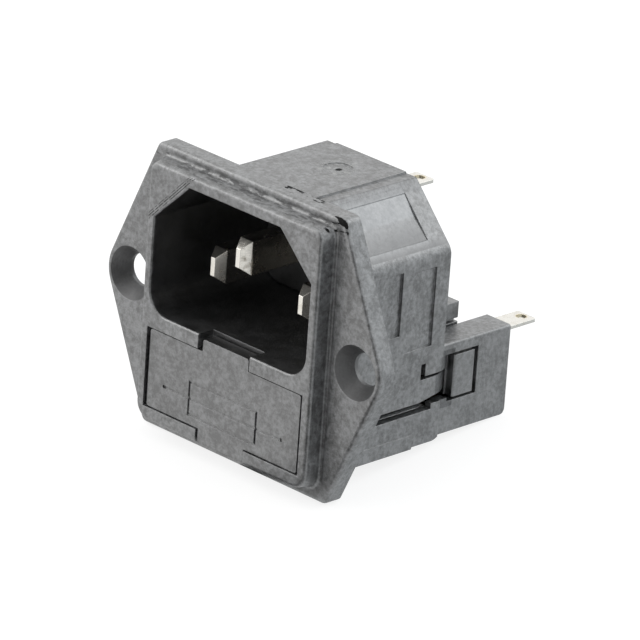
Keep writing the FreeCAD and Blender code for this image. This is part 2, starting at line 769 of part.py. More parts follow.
def output_terminal():
    """Strip from the right fuse contact back to the tag behind the compartment."""
    tag_plate = tag(OUTPUT_TAG_X, OUTPUT_TAG_Z, OUTPUT_TAG_FRONT_Y, OUTPUT_TAG_HOLE_Y)
    outer_x = LINK_END_X + SHEET
    neck = box(
        (OUTPUT_NECK_INNER_X, outer_x),
        (SPRING_Y[0], STEP_REAR_Y + OVER),
        (OUTPUT_TAG_Z - SHEET / 2, OUTPUT_TAG_Z + SHEET / 2),
    )
    ear = box((LINK_END_X, outer_x), SPRING_Y, (LINK_RUN_Z[0], OUTPUT_TAG_Z + SHEET / 2))
    return joined([tag_plate, neck, ear])


def contact_spring(side):
    """Bowed strip that presses on one end of the fuse."""
    outer_x = SPRING_X + SPRING_T
    touch_x = SPRING_TOUCH_X
    bend_z = FUSE_Z + FUSE_R - SPRING_BEND_DROP
    strip = prism_along_y([
        (SPRING_X, OUTPUT_TAG_Z, 0),
        (outer_x, OUTPUT_TAG_Z, 0),
        (outer_x, bend_z, SPRING_BEND_R),
        (touch_x + SPRING_T, FUSE_Z, SPRING_BEND_R),
        (outer_x - SPRING_FOOT_SET, SPRING_BOTTOM, 0),
        (SPRING_X - SPRING_FOOT_SET, SPRING_BOTTOM, 0),
        (touch_x, FUSE_Z, SPRING_TOUCH_R),
        (SPRING_X, bend_z, SPRING_INNER_BEND_R),
    ], SPRING_Y)
    return on_side(side, strip)


def fuse_pieces(name, y):
    """Glass tube, two metal end caps and the wire of one fuse."""
    tube = cylinder_x((-TUBE_HALF_L, TUBE_HALF_L), y, FUSE_Z, TUBE_R)
    bore = cylinder_x((-TUBE_HALF_L - OVER, TUBE_HALF_L + OVER), y, FUSE_Z, TUBE_BORE_R)
    inside = FUSE_HALF_L - 2 * FUSE_CAP_T
    cap = cylinder_x((FUSE_HALF_L - FUSE_CAP_L, FUSE_HALF_L), y, FUSE_Z, FUSE_R)
    rim = [e for e in cap.Edges if all(abs(v.X - FUSE_HALF_L) < TOLERANCE for v in e.Vertexes)]
    cap = cap.makeFillet(FUSE_CAP_T, rim)
    cap = cap.cut(cylinder_x((0, inside), y, FUSE_Z, FUSE_R - FUSE_CAP_T))
    return {
        name + "_tube": tube.cut(bore),
        name + "_cap_left": on_side(LEFT, cap),
        name + "_cap_right": cap,
        name + "_wire": cylinder_x((-inside, inside), y, FUSE_Z, WIRE_R),
    }


def fuse_symbol():
    """Grooves of the fuse symbol: a rectangle with a line through it."""
    front_y = FRONT_Y + DRAWER_RECESS
    y = (front_y - OVER, front_y + ENGRAVE_DEPTH)
    shallow_y = (front_y - OVER, front_y + ENGRAVE_SHALLOW)
    half = ENGRAVE_W / 2
    grooves = []
    for z in (SYMBOL_Z - SYMBOL_HALF_H, SYMBOL_Z + SYMBOL_HALF_H):
        grooves.append(box((-SYMBOL_HALF_W - half, SYMBOL_HALF_W + half), shallow_y, (z - half, z + half)))
    line_x = (-SYMBOL_LINE_HALF_L, SYMBOL_LINE_HALF_L)
    grooves.append(box(line_x, shallow_y, (SYMBOL_Z - half, SYMBOL_Z + half)))
    for side in (LEFT, RIGHT):
        x = side * SYMBOL_HALF_W
        grooves.append(box((x - half, x + half), y, (SYMBOL_Z - SYMBOL_HALF_H, SYMBOL_Z + SYMBOL_HALF_H)))
        grooves.append(cylinder_y(side * SYMBOL_LINE_HALF_L, SYMBOL_Z, y, SYMBOL_DOT_R))
    return grooves


def drawer_front():
    """Front plate of the drawer with a finger tab above and below."""
    plate = prism_along_y(symmetric([
        (TAB_HALF_W, TAB_TOP, DRAWER_CORNER_R),
        (TAB_HALF_W, DRAWER_TOP, 0),
        (DRAWER_HALF_W, DRAWER_TOP, DRAWER_CORNER_R),
        (DRAWER_HALF_W, DRAWER_BOTTOM, DRAWER_CORNER_R),
        (TAB_HALF_W, DRAWER_BOTTOM, 0),
        (TAB_HALF_W, TAB_BOTTOM, DRAWER_CORNER_R),
    ]), (FRONT_Y + DRAWER_RECESS, FRONT_Y + DRAWER_RECESS + DRAWER_FRONT_T))
    return plate.cut(fuse_symbol())


def saddles(y):
    """Two blocks hollowed to carry a fuse by its end caps."""
    floor_top = TRAY_BOTTOM + TRAY_FLOOR_T
    block = box(SADDLE_X, (y - SADDLE_HALF_L, y + SADDLE_HALF_L), (floor_top - TRAY_LAP, SADDLE_TOP))
    hollow = cylinder_x((-CRADLE_HALF_W - OVER, CRADLE_HALF_W + OVER), y, FUSE_Z, FUSE_R + FIT)
    return [shape.cut(hollow) for shape in on_both_sides(block)]


def fuse_drawer():
    """Drawer with a tray for the spare fuse and an open cradle for the fuse in use."""
    floor_top = TRAY_BOTTOM + TRAY_FLOOR_T
    tray_front_y = FRONT_Y + DRAWER_FRONT_T
    floor = box((-TRAY_HALF_W, TRAY_HALF_W), (tray_front_y, TRAY_REAR_Y), (TRAY_BOTTOM, floor_top))
    wall = box(
        (TRAY_HALF_W - TRAY_WALL_T, TRAY_HALF_W),
        (tray_front_y, TRAY_REAR_Y),
        (TRAY_BOTTOM, TRAY_WALL_TOP),
    )
    cradle_y = (TRAY_REAR_Y - TRAY_LAP, CRADLE_REAR_Y)
    cradle = box((-CRADLE_HALF_W, CRADLE_HALF_W), cradle_y, (TRAY_BOTTOM, floor_top))
    rib = box((-TRAY_HALF_W, TRAY_HALF_W), TRAY_RIB_Y, (TRAY_BOTTOM, TRAY_RIB_TOP))
    parts = [drawer_front(), floor, *on_both_sides(wall), cradle, rib]
    parts += saddles(ACTIVE_FUSE_Y) + saddles(SPARE_FUSE_Y)
    return joined(parts)


def build_nodes():
    """Every separate piece under its node name."""
    nodes = {
        "main_housing": main_housing(),
        "contact_carrier": contact_carrier(),
        "earth_terminal": stepped_terminal(0.0, EARTH_Z, EARTH_TAG_Z),
        "neutral_terminal": stepped_terminal(-BLADE_X, BLADE_Z, NEUTRAL_TAG_Z),
        "live_link": live_link(),
        "output_terminal": output_terminal(),
        "live_contact_spring": contact_spring(LEFT),
        "output_contact_spring": contact_spring(RIGHT),
        "fuse_drawer": fuse_drawer(),
    }
    for name, (x, z, tip_y) in blades().items():
        nodes[name] = blade(x, z, tip_y)
    nodes.update(fuse_pieces("active_fuse", ACTIVE_FUSE_Y))
    nodes.update(fuse_pieces("spare_fuse", SPARE_FUSE_Y))
    return nodes


def main():
    os.makedirs("parts", exist_ok=True)
    for name, shape in build_nodes().items():
        if not shape.isValid():
            raise ValueError(name + " is not a valid solid")
        shape.exportStep("parts/" + name + ".step")


main()
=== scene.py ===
"""Looks of a fused panel inlet: black mouldings, fuse drawer, plated contacts and solder tags."""

import math

import bmesh
import bpy
from mathutils import Euler, Matrix, Vector


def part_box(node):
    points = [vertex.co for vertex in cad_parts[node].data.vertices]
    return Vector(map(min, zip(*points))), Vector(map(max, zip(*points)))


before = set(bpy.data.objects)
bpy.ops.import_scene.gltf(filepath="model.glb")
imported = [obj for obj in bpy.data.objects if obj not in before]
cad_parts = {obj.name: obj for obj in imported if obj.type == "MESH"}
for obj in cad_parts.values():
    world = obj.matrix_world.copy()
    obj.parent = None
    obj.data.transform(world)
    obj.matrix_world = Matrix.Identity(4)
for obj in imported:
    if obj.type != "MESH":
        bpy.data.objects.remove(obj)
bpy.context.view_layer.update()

bl_info = {
    "name": "Panel Inlet With Fuse Drawer",
    "version": (1, 0, 0),
    "blender": (4, 5, 0),
    "location": "3D View > Sidebar > Panel Inlet",
    "description": "Gives a fused panel inlet its moulded, plated and glass finishes",
    "category": "Object",
}

MM = 0.001

# Places on the housing, in its own frame, in metres
FRONT_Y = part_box("main_housing")[0].y
FRAME_DEPTH = 0.0023
EAR_X = 0.018
COUNTERSINK_R = 0.0032
COUNTERSINK_FROM_Y = FRONT_Y + 0.00225
SOCKET_HALF_W = 0.01275
SOCKET_TOP = 0.0146
SOCKET_FLOOR = -0.0029
SHOULDER_NORMAL = (0.69, 0.0, 0.724)
SOCKET_SHOULDER = 0.0156
PANEL_FACE = 0.01597
PANEL_REAR_Y = 0.0139
PANEL_Z = (0.0095, 0.0149)
PANEL_OUTER_X = 0.0132
LEDGE_FACE = 0.01592
GATE_PLACE = (0.0006, 0.0108, 0.01545)
NICKED_X = (0.0032, 0.0098)
CORNER_NICKS_X = 0.0128
GROOVE_Z = (0.01545, 0.0162)
FLASH_BAND = (0.02165, 0.0227)
FRAME_WALL_X = (0.01345, 0.0143)
FRAME_WALL_Z = 0.0142
WINDOW_X = (0.0112, 0.01325)
WINDOW_Y = (0.0156, 0.0186)
WINDOW_Z = (-0.0105, -0.0035)
BODY_SIDE_X = 0.0129
BODY_END_Y = 0.01655
SEAM_TOP_Z = -0.0098
SEAM_X = 0.0131
WIRE_HOLES = ((0.0, 0.0246, 0.0112), (-0.007, 0.0246, 0.0062), (0.0095, 0.033, -0.0045))

# Places on the drawer's tray walls, where a highlight is painted
RAIL_Z = (-0.01018, -0.01002)
RAIL_X = 0.0114

# Widths over which a mask fades
SOFT = 0.00004
FINE = 0.00003
WIDE = 0.0003

# Turned rings and flash lines, in radians per metre
RING_TURNS = 34000.0
FLASH_TURNS = 17000.0

NEAR_BLACK = (0.003, 0.003, 0.003, 1.0)

BEVEL_SAMPLES = 6
GLASS_WAVE_DEPTH = 0.00001
PIN_STREAKS = 0.0000008

# The stage: its lamps, then how pale its floor is
REAR_LIGHT_PLACE = (0.29, 0.54, 0.51)
REAR_LIGHT_SIZE = 0.5
LEFT_LIGHT_PLACE = (-0.55, -0.3, 0.45)
LEFT_LIGHT_SIZE = 0.4
PAPER = 0.86
SEEN_PAPER = 0.24
FLOOR_GLOW = 0.81

SOCKET = {"float": "NodeSocketFloat", "vector": "NodeSocketVector", "color": "NodeSocketColor"}


# ---------------------------------------------------------------- shader helpers


def new_group(name, inputs, outputs):
    """An empty shader group with named inputs (name, kind, default) and outputs (name, kind)."""
    tree = bpy.data.node_groups.new(name, "ShaderNodeTree")
    for label, kind, value in inputs:
        socket = tree.interface.new_socket(label, in_out="INPUT", socket_type=SOCKET[kind])
        socket.default_value = value
    for label, kind in outputs:
        tree.interface.new_socket(label, in_out="OUTPUT", socket_type=SOCKET[kind])
    return tree, tree.nodes.new("NodeGroupInput"), tree.nodes.new("NodeGroupOutput")


def empty_tree(owner):
    """The cleared shader tree of a material or a world."""
    owner.use_nodes = True
    owner.node_tree.nodes.clear()
    return owner.node_tree


def link(tree, source, target):
    tree.links.new(source, target)


def feed(tree, socket, value):
    """Links an output, or sets a plain value."""
    if isinstance(value, bpy.types.NodeSocket):
        tree.links.new(value, socket)
    elif value is not None:
        socket.default_value = value


def math_node(tree, operation, first, second=None, clamp=False):
    """The result of one sum, from links or plain values."""
    node = tree.nodes.new("ShaderNodeMath")
    node.operation = operation
    node.use_clamp = clamp
    feed(tree, node.inputs[0], first)
    feed(tree, node.inputs[1], second)
    return node.outputs[0]


def times(tree, first, second):
    return math_node(tree, "MULTIPLY", first, second)


def plus(tree, first, second):
    return math_node(tree, "ADD", first, second)


def minus(tree, first, second):
    return math_node(tree, "SUBTRACT", first, second)


def larger(tree, first, second):
    return math_node(tree, "MAXIMUM", first, second)


def remap(tree, value, low, high, to_low=0.0, to_high=1.0, smooth=False):
    """Stretches a range of values onto another, and stops at its ends."""
    node = tree.nodes.new("ShaderNodeMapRange")
    node.interpolation_type = "SMOOTHSTEP" if smooth else "LINEAR"
    feed(tree, node.inputs["Value"], value)
    feed(tree, node.inputs["From Min"], low)
    feed(tree, node.inputs["From Max"], high)
    feed(tree, node.inputs["To Min"], to_low)
    feed(tree, node.inputs["To Max"], to_high)
    return node.outputs["Result"]


def mix_colour(tree, factor, first, second):
    node = tree.nodes.new("ShaderNodeMix")
    node.data_type = "RGBA"
    feed(tree, node.inputs["Factor"], factor)
    feed(tree, node.inputs["A"], first)
    feed(tree, node.inputs["B"], second)
    return node.outputs["Result"]


def noise(tree, vector, scale, detail=2.0, rough=0.5):
    node = tree.nodes.new("ShaderNodeTexNoise")
    feed(tree, node.inputs["Vector"], vector)
    feed(tree, node.inputs["Scale"], scale)
    node.inputs["Detail"].default_value = detail
    node.inputs["Roughness"].default_value = rough
    return node.outputs["Fac"]


def part_position(tree):
    """The point on the part, in its own frame, in metres."""
    return tree.nodes.new("ShaderNodeTexCoord").outputs["Object"]


def xyz(tree, vector):
    parts = tree.nodes.new("ShaderNodeSeparateXYZ")
    link(tree, vector, parts.inputs[0])
    return parts.outputs["X"], parts.outputs["Y"], parts.outputs["Z"]


def stretched(tree, vector, x, y, z):
    node = tree.nodes.new("ShaderNodeMapping")
    feed(tree, node.inputs["Vector"], vector)
    node.inputs["Scale"].default_value = (x, y, z)
    return node.outputs["Vector"]


def both(tree, *masks):
    """Where every mask holds."""
    result = masks[0]
    for mask in masks[1:]:
        result = times(tree, result, mask)
    return result


def above(tree, value, limit, soft=SOFT):
    """Mask that rises from 0 to 1 as a value passes a limit."""
    return remap(tree, value, limit - soft, limit + soft, 0.0, 1.0, smooth=True)


def below(tree, value, limit, soft=SOFT):
    """Mask that falls from 1 to 0 as a value passes a limit."""
    return remap(tree, value, limit - soft, limit + soft, 1.0, 0.0, smooth=True)


def between(tree, value, limits, soft=SOFT):
    """The two masks of a value that lies between two limits."""
    return above(tree, value, limits[0], soft), below(tree, value, limits[1], soft)


def shoulder_slant(tree, wide, z):
    """Distance from the middle line, measured square to the housing's sloping shoulders."""
    across = times(tree, wide, SHOULDER_NORMAL[0])
    return plus(tree, across, times(tree, z, SHOULDER_NORMAL[2]))


def vector_node(tree, operation, first, second=None):
    node = tree.nodes.new("ShaderNodeVectorMath")
    node.operation = operation
    feed(tree, node.inputs[0], first)
    feed(tree, node.inputs[1], second)
    return node


def radius_from(tree, vector, place, keep):
    """Distance from a place, with a share of each axis kept."""
    away = vector_node(tree, "SUBTRACT", vector, place).outputs[0]
    kept = vector_node(tree, "MULTIPLY", away, keep).outputs[0]
    return vector_node(tree, "LENGTH", kept).outputs["Value"]


# ---------------------------------------------------------------- shared effects


def grain_group():
    """Spark-eroded mould texture: a height, a roughness shift and a tone, from the grain's size."""
    tree, inp, out = new_group(
        "Moulded grain",
        [("Grains per metre", "float", 1900.0)],
        [("Height", "float"), ("Roughness shift", "float"), ("Tone", "float"), ("Cloud", "float")],
    )
    point = part_position(tree)
    per_metre = inp.outputs["Grains per metre"]
    fine = noise(tree, point, per_metre, 4.0, 0.75)
    coarse = noise(tree, point, times(tree, per_metre, 0.3), 4.0, 0.65)
    cloud = noise(tree, point, times(tree, per_metre, 0.06), 3.0, 0.6)
    pits = tree.nodes.new("ShaderNodeTexVoronoi")
    link(tree, point, pits.inputs["Vector"])
    link(tree, times(tree, per_metre, 0.9), pits.inputs["Scale"])
    pit = remap(tree, pits.outputs["Distance"], 0.0, 0.5, 0.0, 0.4, smooth=True)
    height = plus(tree, plus(tree, fine, pit), coarse)
    link(tree, height, out.inputs["Height"])
    link(tree, remap(tree, coarse, 0.3, 0.7, -1.0, 1.0), out.inputs["Roughness shift"])
    mottled = plus(tree, times(tree, fine, 0.6), times(tree, coarse, 0.4))
    link(tree, remap(tree, mottled, 0.42, 0.6, 0.0, 1.0), out.inputs["Tone"])
    link(tree, remap(tree, cloud, 0.3, 0.7, 0.0, 1.0), out.inputs["Cloud"])
    return tree


def edge_wear_and_highlight_group():
    """Where an edge is rubbed and a highlight is painted: a mask from how far the rounded normal
    turns, broken up by noise.
    """
    tree, inp, out = new_group(
        "Rubbed edge and highlight",
        [("Width", "float", 0.0003), ("Breakup per metre", "float", 900.0)],
        [("Mask", "float")],
    )
    bevel = tree.nodes.new("ShaderNodeBevel")
    bevel.samples = BEVEL_SAMPLES
    link(tree, inp.outputs["Width"], bevel.inputs["Radius"])
    geometry = tree.nodes.new("ShaderNodeNewGeometry")
    dot = vector_node(tree, "DOT_PRODUCT", bevel.outputs["Normal"], geometry.outputs["Normal"])
    turned = remap(tree, dot.outputs["Value"], 0.99, 0.8, 0.0, 1.0)
    broken = noise(tree, part_position(tree), inp.outputs["Breakup per metre"], 4.0, 0.65)
    keep = remap(tree, broken, 0.4, 0.62, 0.0, 1.0, smooth=True)
    link(tree, math_node(tree, "MULTIPLY", turned, keep, clamp=True), out.inputs["Mask"])
    return tree


def dust_group():
    """Pale dust: ragged specks and a faint film that lie thicker on surfaces facing up."""
    tree, inp, out = new_group(
        "Settled dust",
        [("Specks per metre", "float", 2200.0), ("Cover", "float", 0.5)],
        [("Specks", "float"), ("Film", "float")],
    )
    point = part_position(tree)
    ragged = noise(tree, point, inp.outputs["Specks per metre"], 3.0, 0.8)
    per_metre = times(tree, inp.outputs["Specks per metre"], 0.17)
    patches = noise(tree, point, per_metre, 3.0, 0.6)
    specks = both(tree, above(tree, ragged, 0.71, 0.03), above(tree, patches, 0.56, 0.06))
    normal = tree.nodes.new("ShaderNodeNewGeometry").outputs["Normal"]
    up = remap(tree, xyz(tree, normal)[2], -0.4, 1.0, 0.3, 1.0)
    link(tree, both(tree, specks, up, inp.outputs["Cover"]), out.inputs["Specks"])
    cloud = remap(tree, noise(tree, point, 160.0, 4.0, 0.6), 0.35, 0.75, 0.0, 1.0, smooth=True)
    link(tree, both(tree, cloud, up, inp.outputs["Cover"]), out.inputs["Film"])
    return tree


def scuff_group():
    """Fine scuffs from handling: thin crossing streaks, as a mask."""
    tree, inp, out = new_group(
        "Handling scuffs",
        [("Streaks per metre", "float", 420.0), ("Amount", "float", 0.5)],
        [("Mask", "float")],
    )
    point = part_position(tree)
    masks = []
    for turn, lengthen in ((0.5, 0.07), (-0.9, 0.1)):
        mapping = tree.nodes.new("ShaderNodeMapping")
        link(tree, point, mapping.inputs["Vector"])
        mapping.inputs["Rotation"].default_value = (turn, turn * 0.7, 0.4 - turn)
        mapping.inputs["Scale"].default_value = (1.0, lengthen, 1.0)
        streak = noise(tree, mapping.outputs["Vector"], inp.outputs["Streaks per metre"], 5.0, 0.75)
        masks.append(remap(tree, streak, 0.66, 0.72, 0.0, 1.0))
    crossing = larger(tree, masks[0], masks[1])
    link(tree, both(tree, crossing, inp.outputs["Amount"]), out.inputs["Mask"])
    return tree


def rolled_group():
    """Rolled and plated sheet: long streaks along one way, with small blotches."""
    tree, inp, out = new_group(
        "Rolled plating",
        [("Streaks per metre", "float", 5000.0), ("Blotches per metre", "float", 900.0)],
        [("Height", "float"), ("Roughness shift", "float"), ("Blotch", "float")],
    )
    point = part_position(tree)
    along = stretched(tree, point, 1.0, 0.05, 1.0)
    streak = noise(tree, along, inp.outputs["Streaks per metre"], 3.0, 0.6)
    blotch = noise(tree, point, inp.outputs["Blotches per metre"], 5.0, 0.6)
    link(tree, streak, out.inputs["Height"])
    link(tree, remap(tree, streak, 0.3, 0.7, -1.0, 1.0), out.inputs["Roughness shift"])
    link(tree, remap(tree, blotch, 0.5, 0.72, 0.0, 1.0, smooth=True), out.inputs["Blotch"])
    return tree


def socket_shade_group():
    """Mask of the surfaces deep inside the plug socket, where shade is painted."""
    tree, inp, out = new_group(
        "Socket shade", [("Mouth depth", "float", 0.0005)], [("Mask", "float")]
    )
    x, y, z = xyz(tree, part_position(tree))
    wide = math_node(tree, "ABSOLUTE", x)
    slant = shoulder_slant(tree, wide, z)
    soft = 0.00005
    deep = minus(tree, y, FRONT_Y)
    rim = remap(tree, deep, 0.0001, inp.outputs["Mouth depth"], 0.0, 1.0, smooth=True)
    mask = both(
        tree,
        rim,
        below(tree, wide, SOCKET_HALF_W, soft),
        below(tree, slant, SOCKET_SHOULDER, soft),
        below(tree, z, SOCKET_TOP, soft),
        above(tree, z, SOCKET_FLOOR, soft),
        below(tree, y, BODY_END_Y, soft),
    )
    link(tree, mask, out.inputs["Mask"])
    return tree


def room_group():
    """The room's brightness by direction: dark where the viewer stands, dimmer at right rear."""
    tree, inp, out = new_group(
        "Room brightness",
        [
            ("Direction", "vector", (0.0, 0.0, 0.0)),
            ("Gap turn", "float", 0.77),
            ("Gap depth", "float", 0.95),
            ("Rear dimming", "float", 0.2),
        ],
        [("Brightness", "float"), ("Colour", "color")],
    )
    flat = vector_node(tree, "MULTIPLY", inp.outputs["Direction"], (1.0, 1.0, 0.0)).outputs[0]
    across, along, _ = xyz(tree, vector_node(tree, "NORMALIZE", flat).outputs[0])
    sine = math_node(tree, "SINE", inp.outputs["Gap turn"])
    cosine = math_node(tree, "COSINE", inp.outputs["Gap turn"])
    ahead = minus(tree, times(tree, across, sine), times(tree, along, cosine))
    aside = plus(tree, times(tree, across, cosine), times(tree, along, sine))
    gap = remap(tree, ahead, 0.87, 0.98, 0.0, inp.outputs["Gap depth"], smooth=True)
    rear = remap(tree, aside, 0.2, 0.9, 0.0, 1.0, smooth=True)
    dim = times(tree, rear, inp.outputs["Rear dimming"])
    kept = times(tree, minus(tree, 1.0, gap), minus(tree, 1.0, dim))
    link(tree, kept, out.inputs["Brightness"])
    tint = mix_colour(tree, rear, (1.0, 1.0, 0.995, 1.0), (0.94, 0.98, 1.0, 1.0))
    link(tree, tint, out.inputs["Colour"])
    return tree


def effect(tree, name, maker, **values):
    """Places a shared group in a material, with its own values."""
    group = bpy.data.node_groups.get(name) or maker()
    node = tree.nodes.new("ShaderNodeGroup")
    node.node_tree = group
    for label, value in values.items():
        node.inputs[label.replace("_", " ")].default_value = value
    return node


# ---------------------------------------------------------------- materials


def new_material(name):
    material = bpy.data.materials.new(name)
    tree = empty_tree(material)
    shader = tree.nodes.new("ShaderNodeBsdfPrincipled")
    output = tree.nodes.new("ShaderNodeOutputMaterial")
    tree.links.new(shader.outputs["BSDF"], output.inputs["Surface"])
    return material, tree, shader


def grey(level, cool=0.04):
    """A near-neutral colour, a little cooler towards blue."""
    return (level, level * (1.0 + cool / 2), level * (1.0 + cool), 1.0)


def round_edges(tree, radius):
    """Normal that makes sharp edges look rounded."""
    bevel = tree.nodes.new("ShaderNodeBevel")
    bevel.samples = BEVEL_SAMPLES
    bevel.inputs["Radius"].default_value = radius
    return bevel.outputs["Normal"]


def raise_surface(tree, shader, height, distance, normal=None):
    """Gives a shader its bump, over a rounded normal if there is one."""
    bump = tree.nodes.new("ShaderNodeBump")
    bump.inputs["Distance"].default_value = distance
    link(tree, height, bump.inputs["Height"])
    feed(tree, bump.inputs["Normal"], normal)
    link(tree, bump.outputs["Normal"], shader.inputs["Normal"])


class Plastic:
    """Black moulded plastic with grain, rubbed edges with a painted highlight, scuffs and dust, and
    painted shade inside the socket, ready for more paint.
    """

    def __init__(self, name, look, grain=1.0, tone=1.0, rough=0.0):
        self.material, self.tree, self.shader = new_material(name)
        tree = self.tree
        grains = effect(tree, "Moulded grain", grain_group, Grains_per_metre=look.grains_per_metre)
        edge = effect(tree, "Rubbed edge and highlight", edge_wear_and_highlight_group, Width=look.edge_width)
        dust = effect(tree, "Settled dust", dust_group, Cover=look.dust)
        scuff = effect(tree, "Handling scuffs", scuff_group, Amount=look.scuffs)
        self.inside = effect(tree, "Socket shade", socket_shade_group).outputs["Mask"]

        middle = sum(look.colour) / 3 * tone
        dark = [c * tone * 0.1 for c in look.colour] + [1.0]
        light = [c * tone * 3.4 for c in look.colour] + [1.0]
        colour = mix_colour(tree, grains.outputs["Tone"], dark, light)
        pale = times(tree, grains.outputs["Cloud"], 0.3)
        colour = mix_colour(tree, pale, colour, grey(middle * 2.2))
        # Partly rubbed wear, partly painted highlight: edges are lightened towards pale grey.
        rubbed_and_highlit = times(tree, edge.outputs["Mask"], look.edge_wear_and_highlight)
        colour = mix_colour(tree, rubbed_and_highlit, colour, grey(middle * 2.2))
        colour = mix_colour(tree, scuff.outputs["Mask"], colour, grey(middle * 4.0))
        film = times(tree, dust.outputs["Film"], 0.05)
        colour = mix_colour(tree, film, colour, grey(0.42))
        specks = times(tree, dust.outputs["Specks"], 0.6)
        self.colour = mix_colour(tree, specks, colour, grey(0.3))

        shifted = times(tree, grains.outputs["Roughness shift"], 0.06)
        self.roughness = plus(tree, shifted, look.roughness + rough)
        self.roughness = minus(tree, self.roughness, times(tree, rubbed_and_highlit, 0.1))
        self.height = grains.outputs["Height"]
        self.pores_and_shade = remap(tree, grains.outputs["Tone"], 0.0, 1.0, 0.22 * grain, 0.0)
        self.shader.inputs["IOR"].default_value = look.index
        self.shader.inputs["Specular IOR Level"].default_value = look.gloss_level
        self.depth = look.grain_depth * grain
        self.edge_round = look.edge_round

    def paint(self, mask, colour, roughness=None):
        """Lays a colour, and a roughness if given, where the mask is 1."""
        self.colour = mix_colour(self.tree, mask, self.colour, colour)
        if roughness is not None:
            node = self.tree.nodes.new("ShaderNodeMix")
            feed(self.tree, node.inputs["Factor"], mask)
            feed(self.tree, node.inputs["A"], self.roughness)
            feed(self.tree, node.inputs["B"], roughness)
            self.roughness = node.outputs["Result"]

    def hollow_and_shade(self, mask, share):
        """Takes a share of the gloss away where the mask is 1: pores and nicks trap the light, and
        in hollows it is painted shade.
        """
        self.pores_and_shade = larger(self.tree, self.pores_and_shade, times(self.tree, mask, share))

    def raise_by(self, amount):
        """Lifts the surface, in grain heights."""
        self.height = plus(self.tree, self.height, amount)

    def flatten(self, mask, share):
        """Takes a share of the grain's height away where the mask is 1."""
        keep = remap(self.tree, mask, 0.0, 1.0, 1.0, 1.0 - share)
        self.height = times(self.tree, self.height, keep)

    def finish(self):
        """Paints shade inside the socket, then wires everything to the shader."""
        tree, shader = self.tree, self.shader
        # Painted shade: the socket's inside is darkened to near black and loses its gloss.
        self.paint(times(tree, self.inside, 0.8), (0.0028, 0.0028, 0.0036, 1.0))
        self.hollow_and_shade(self.inside, 0.25)
        feed(tree, shader.inputs["Metallic"], self.pores_and_shade)
        feed(tree, shader.inputs["Base Color"], self.colour)
        feed(tree, shader.inputs["Roughness"], self.roughness)
        edge_normal = round_edges(tree, self.edge_round)
        raise_surface(tree, shader, self.height, self.depth, edge_normal)
        return self.material


def drawer_plastic(look):
    """The drawer's plastic, with a painted highlight and lower roughness on the top edges of its
    tray walls.
    """
    plastic = Plastic("drawer_plastic", look, grain=0.9, tone=0.75, rough=-0.02)
    tree = plastic.tree
    x, y, z = xyz(tree, part_position(tree))
    rail_highlight = both(
        tree,
        *between(tree, z, RAIL_Z, FINE),
        above(tree, math_node(tree, "ABSOLUTE", x), RAIL_X, FINE),
        above(tree, y, 0.0, 0.0002),
    )
    # Painted highlight: the tray walls' top edges are painted pale grey.
    plastic.paint(rail_highlight, grey(0.5), 0.25)
    return plastic.finish()


class HousingPoint:
    """The point of the housing that is being coloured."""

    def __init__(self, tree):
        self.point = part_position(tree)
        self.x, self.y, self.z = xyz(tree, self.point)
        self.wide = math_node(tree, "ABSOLUTE", self.x)
        self.slant = shoulder_slant(tree, self.wide, self.z)


def shoulder_panels(plastic, at, look):
    """Smooth, paler panels sunk into the shoulders, and the darker ledge along their top."""
    tree = plastic.tree
    panel = both(
        tree,
        *between(tree, at.slant, (SOCKET_SHOULDER, PANEL_FACE)),
        *between(tree, at.y, (0.0, PANEL_REAR_Y)),
        *between(tree, at.z, PANEL_Z),
        below(tree, at.wide, PANEL_OUTER_X),
    )
    plastic.flatten(panel, 0.85)
    plastic.paint(times(tree, panel, 0.85), (0.05, 0.058, 0.066, 1.0), look.roughness - 0.1)
    ledge = both(
        tree,
        above(tree, at.slant, LEDGE_FACE),
        above(tree, at.z, 0.0086, 0.0004),
        above(tree, at.wide, 0.0068, WIDE),
        above(tree, at.y, 0.0002),
        above(tree, at.z, 0.0142, 0.0004),
    )
    plastic.paint(times(tree, ledge, 0.4), (0.012, 0.013, 0.016, 1.0), look.roughness + 0.12)


def turned_countersinks(plastic, at, look):
    """Fine turned rings on the slopes of both screw holes, which are darkened with painted shade.
    """
    tree = plastic.tree
    up = radius_from(tree, at.point, (EAR_X, 0.0, 0.0), (0.0, 0.0, 1.0))
    away = minus(tree, at.wide, EAR_X)
    squares = plus(tree, times(tree, away, away), times(tree, up, up))
    ring = math_node(tree, "SQRT", squares)
    sunk = both(
        tree,
        below(tree, ring, COUNTERSINK_R + 0.00002),
        above(tree, at.y, COUNTERSINK_FROM_Y, 0.00002),
    )
    turned = math_node(tree, "SINE", times(tree, ring, RING_TURNS))
    plastic.raise_by(both(tree, turned, sunk, 0.05))
    # Painted shade: the countersink slopes are darkened and lose their gloss.
    plastic.hollow_and_shade(sunk, 0.25)
    plastic.paint(times(tree, sunk, 0.75), (0.008, 0.008, 0.009, 1.0), look.roughness + 0.16)


def gate_mark(plastic, at):
    """Torn, paler stub with a dark core where the moulding was broken from its runner."""
    tree = plastic.tree
    reach = radius_from(tree, at.point, GATE_PLACE, (1.0, 0.8, 1.0))
    torn = noise(tree, at.point, 900.0, 5.0, 0.7)
    patch = both(
        tree,
        below(tree, reach, 0.0023, 0.0012),
        above(tree, torn, 0.53, 0.05),
        above(tree, at.z, 0.0149),
    )
    plastic.raise_by(both(tree, patch, 2.5))
    plastic.paint(times(tree, patch, 0.7), (0.2, 0.205, 0.2, 1.0))
    core = both(tree, below(tree, reach, 0.00035, 0.00012), above(tree, at.z, 0.0149))
    plastic.paint(core, (0.004, 0.004, 0.004, 1.0), 0.8)
    plastic.raise_by(both(tree, core, -6.0))
    plastic.hollow_and_shade(core, 0.9)


